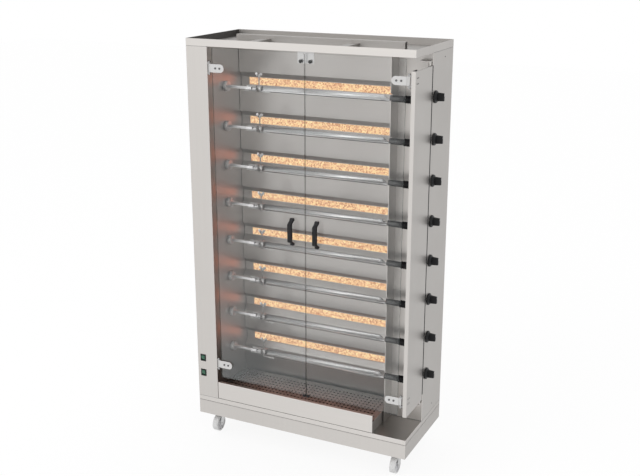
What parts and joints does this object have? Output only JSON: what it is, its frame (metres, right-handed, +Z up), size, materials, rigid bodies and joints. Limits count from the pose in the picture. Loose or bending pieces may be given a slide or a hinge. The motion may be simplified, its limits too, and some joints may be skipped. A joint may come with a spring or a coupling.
{
  "type": "gas chicken rotisserie",
  "caption": "Floor-standing gas rotisserie cabinet on casters, with glass doors on the front, turning spits before ceramic burners, a knob for each burner and a drip drawer.",
  "frame": {"origin": "middle of the footprint on the floor, gas knobs, door pulls and gas inlet included", "axes": "+Z up, +X to the right seen from the front, +Y to the back; the glass doors face -Y"},
  "size_m": [1.162, 0.538, 2],
  "materials": {
    "housing_steel": "brushed stainless sheet",
    "chamber_steel": "bright stainless sheet",
    "burner_steel": "dull pressed sheet",
    "plaque_ceramic": "porous ceramic",
    "gas_brass": "dull brass",
    "drive_iron": "oiled",
    "fitting_steel": "satin",
    "door_glass": "clear tempered",
    "black_plastic": "fine satin",
    "knob_plastic": "semi-gloss",
    "grip_plastic": "ribbed satin",
    "spit_steel": "drawn bar",
    "rocker_plastic": "translucent green",
    "drawer_steel": "brushed stainless sheet",
    "plate_enamel": "brown, satin",
    "caster_steel": "zinc plated",
    "caster_rubber": "light grey"
  },
  "bodies": {
    "cabinet": {"base_frame": "housing_steel", "base_floor": "housing_steel", "left_housing": "housing_steel", "right_housing": "housing_steel", "top_tray": "housing_steel", "back_panel": "housing_steel", "left_wall": "chamber_steel", "right_wall": "chamber_steel", "reflector": "chamber_steel", "burner_bodies": "burner_steel", "burner_plaques": "plaque_ceramic", "gas_manifold": "gas_brass", "spit_drive": "drive_iron", "door_catch": "fitting_steel", "left_hinge_brackets": "fitting_steel", "switch_bezels": "black_plastic"},
    "left_door": {"left_door_glass": "door_glass", "left_door_fittings": "fitting_steel", "left_door_pull": "black_plastic"},
    "post": {"door_post": "housing_steel", "post_hinge_brackets": "fitting_steel"},
    "right_door": {"right_door_glass": "door_glass", "right_door_fittings": "fitting_steel", "right_door_pull": "black_plastic"},
    "drawer": {"drip_drawer": "drawer_steel", "grease_plate": "plate_enamel"},
    "turning_spit_1": {"spit_1": "spit_steel", "spit_grip_1": "grip_plastic"},
    "knob_1": {"gas_knob_1": "knob_plastic"},
    "turning_spit_2": {"spit_2": "spit_steel", "spit_grip_2": "grip_plastic"},
    "knob_2": {"gas_knob_2": "knob_plastic"},
    "turning_spit_3": {"spit_3": "spit_steel", "spit_grip_3": "grip_plastic"},
    "knob_3": {"gas_knob_3": "knob_plastic"},
    "turning_spit_4": {"spit_4": "spit_steel", "spit_grip_4": "grip_plastic"},
    "knob_4": {"gas_knob_4": "knob_plastic"},
    "turning_spit_5": {"spit_5": "spit_steel", "spit_grip_5": "grip_plastic"},
    "knob_5": {"gas_knob_5": "knob_plastic"},
    "turning_spit_6": {"spit_6": "spit_steel", "spit_grip_6": "grip_plastic"},
    "knob_6": {"gas_knob_6": "knob_plastic"},
    "turning_spit_7": {"spit_7": "spit_steel", "spit_grip_7": "grip_plastic"},
    "knob_7": {"gas_knob_7": "knob_plastic"},
    "turning_spit_8": {"spit_8": "spit_steel", "spit_grip_8": "grip_plastic"},
    "knob_8": {"gas_knob_8": "knob_plastic"},
    "rocker_1": {"switch_rocker_1": "rocker_plastic"},
    "rocker_2": {"switch_rocker_2": "rocker_plastic"},
    "swivel_front_left": {"caster_fork_front_left": "caster_steel"},
    "wheel_front_left": {"caster_wheel_front_left": "caster_rubber"},
    "swivel_front_right": {"caster_fork_front_right": "caster_steel"},
    "wheel_front_right": {"caster_wheel_front_right": "caster_rubber"},
    "swivel_rear_left": {"caster_fork_rear_left": "caster_steel"},
    "wheel_rear_left": {"caster_wheel_rear_left": "caster_rubber"},
    "swivel_rear_right": {"caster_fork_rear_right": "caster_steel"},
    "wheel_rear_right": {"caster_wheel_rear_right": "caster_rubber"}
  },
  "joints": [
    {"name": "left_door_hinge", "type": "hinge", "parent": "cabinet", "child": "left_door", "pos_m": [-0.462, -0.2265, 1.148], "axis": [0, 0, -1], "range_deg": [0, 110]},
    {"name": "post_hinge", "type": "hinge", "parent": "cabinet", "child": "post", "pos_m": [0.529, -0.038, 1.121], "axis": [0, 0, 1], "range_deg": [0, 100]},
    {"name": "right_door_hinge", "type": "hinge", "parent": "post", "child": "right_door", "pos_m": [0.509, -0.2265, 1.148], "axis": [0, 0, 1], "range_deg": [0, 110]},
    {"name": "drawer_slide", "type": "slide", "parent": "cabinet", "child": "drawer", "axis": [0, -1, 0], "range_m": [0, 0.24]},
    {"name": "spit_spin_1", "type": "hinge", "parent": "cabinet", "child": "turning_spit_1", "pos_m": [-0.081, -0.083, 1.768], "axis": [1, 0, 0], "continuous": true},
    {"name": "spit_spin_2", "type": "hinge", "parent": "cabinet", "child": "turning_spit_2", "pos_m": [-0.081, -0.083, 1.579], "axis": [1, 0, 0], "continuous": true},
    {"name": "spit_spin_3", "type": "hinge", "parent": "cabinet", "child": "turning_spit_3", "pos_m": [-0.081, -0.083, 1.39], "axis": [1, 0, 0], "continuous": true},
    {"name": "spit_spin_4", "type": "hinge", "parent": "cabinet", "child": "turning_spit_4", "pos_m": [-0.081, -0.083, 1.201], "axis": [1, 0, 0], "continuous": true},
    {"name": "spit_spin_5", "type": "hinge", "parent": "cabinet", "child": "turning_spit_5", "pos_m": [-0.081, -0.083, 1.012], "axis": [1, 0, 0], "continuous": true},
    {"name": "spit_spin_6", "type": "hinge", "parent": "cabinet", "child": "turning_spit_6", "pos_m": [-0.081, -0.083, 0.823], "axis": [1, 0, 0], "continuous": true},
    {"name": "spit_spin_7", "type": "hinge", "parent": "cabinet", "child": "turning_spit_7", "pos_m": [-0.081, -0.083, 0.634], "axis": [1, 0, 0], "continuous": true},
    {"name": "spit_spin_8", "type": "hinge", "parent": "cabinet", "child": "turning_spit_8", "pos_m": [-0.081, -0.083, 0.445], "axis": [1, 0, 0], "continuous": true},
    {"name": "knob_turn_1", "type": "hinge", "parent": "cabinet", "child": "knob_1", "pos_m": [0.559, 0.021, 1.772], "axis": [1, 0, 0], "range_deg": [0, 210]},
    {"name": "knob_turn_2", "type": "hinge", "parent": "cabinet", "child": "knob_2", "pos_m": [0.559, 0.021, 1.583], "axis": [1, 0, 0], "range_deg": [0, 210]},
    {"name": "knob_turn_3", "type": "hinge", "parent": "cabinet", "child": "knob_3", "pos_m": [0.559, 0.021, 1.394], "axis": [1, 0, 0], "range_deg": [0, 210]},
    {"name": "knob_turn_4", "type": "hinge", "parent": "cabinet", "child": "knob_4", "pos_m": [0.559, 0.021, 1.205], "axis": [1, 0, 0], "range_deg": [0, 210]},
    {"name": "knob_turn_5", "type": "hinge", "parent": "cabinet", "child": "knob_5", "pos_m": [0.559, 0.021, 1.016], "axis": [1, 0, 0], "range_deg": [0, 210]},
    {"name": "knob_turn_6", "type": "hinge", "parent": "cabinet", "child": "knob_6", "pos_m": [0.559, 0.021, 0.827], "axis": [1, 0, 0], "range_deg": [0, 210]},
    {"name": "knob_turn_7", "type": "hinge", "parent": "cabinet", "child": "knob_7", "pos_m": [0.559, 0.021, 0.638], "axis": [1, 0, 0], "range_deg": [0, 210]},
    {"name": "knob_turn_8", "type": "hinge", "parent": "cabinet", "child": "knob_8", "pos_m": [0.559, 0.021, 0.449], "axis": [1, 0, 0], "range_deg": [0, 210]},
    {"name": "switch_rock_1", "type": "hinge", "parent": "cabinet", "child": "rocker_1", "pos_m": [-0.55, -0.232, 0.421], "axis": [-1, 0, 0], "range_deg": [0, 18]},
    {"name": "switch_rock_2", "type": "hinge", "parent": "cabinet", "child": "rocker_2", "pos_m": [-0.55, -0.232, 0.34], "axis": [-1, 0, 0], "range_deg": [0, 18]},
    {"name": "caster_swivel_front_left", "type": "hinge", "parent": "cabinet", "child": "swivel_front_left", "pos_m": [-0.509, -0.143, 0.11], "axis": [0, 0, 1], "continuous": true},
    {"name": "caster_roll_front_left", "type": "hinge", "parent": "swivel_front_left", "child": "wheel_front_left", "pos_m": [-0.509, -0.171, 0.04], "axis": [1, 0, 0], "continuous": true},
    {"name": "caster_swivel_front_right", "type": "hinge", "parent": "cabinet", "child": "swivel_front_right", "pos_m": [0.467, -0.143, 0.11], "axis": [0, 0, 1], "continuous": true},
    {"name": "caster_roll_front_right", "type": "hinge", "parent": "swivel_front_right", "child": "wheel_front_right", "pos_m": [0.467, -0.171, 0.04], "axis": [1, 0, 0], "continuous": true},
    {"name": "caster_swivel_rear_left", "type": "hinge", "parent": "cabinet", "child": "swivel_rear_left", "pos_m": [-0.396, 0.157, 0.11], "axis": [0, 0, 1], "continuous": true},
    {"name": "caster_roll_rear_left", "type": "hinge", "parent": "swivel_rear_left", "child": "wheel_rear_left", "pos_m": [-0.396, 0.129, 0.04], "axis": [1, 0, 0], "continuous": true},
    {"name": "caster_swivel_rear_right", "type": "hinge", "parent": "cabinet", "child": "swivel_rear_right", "pos_m": [0.354, 0.157, 0.11], "axis": [0, 0, 1], "continuous": true},
    {"name": "caster_roll_rear_right", "type": "hinge", "parent": "swivel_rear_right", "child": "wheel_rear_right", "pos_m": [0.354, 0.129, 0.04], "axis": [1, 0, 0], "continuous": true}
  ],
  "couplings": [
    {"joint": "spit_spin_1", "follows": "spit_spin_4", "ratio": 1},
    {"joint": "spit_spin_2", "follows": "spit_spin_4", "ratio": 1},
    {"joint": "spit_spin_3", "follows": "spit_spin_4", "ratio": 1},
    {"joint": "spit_spin_5", "follows": "spit_spin_8", "ratio": 1},
    {"joint": "spit_spin_6", "follows": "spit_spin_8", "ratio": 1},
    {"joint": "spit_spin_7", "follows": "spit_spin_8", "ratio": 1}
  ]
}
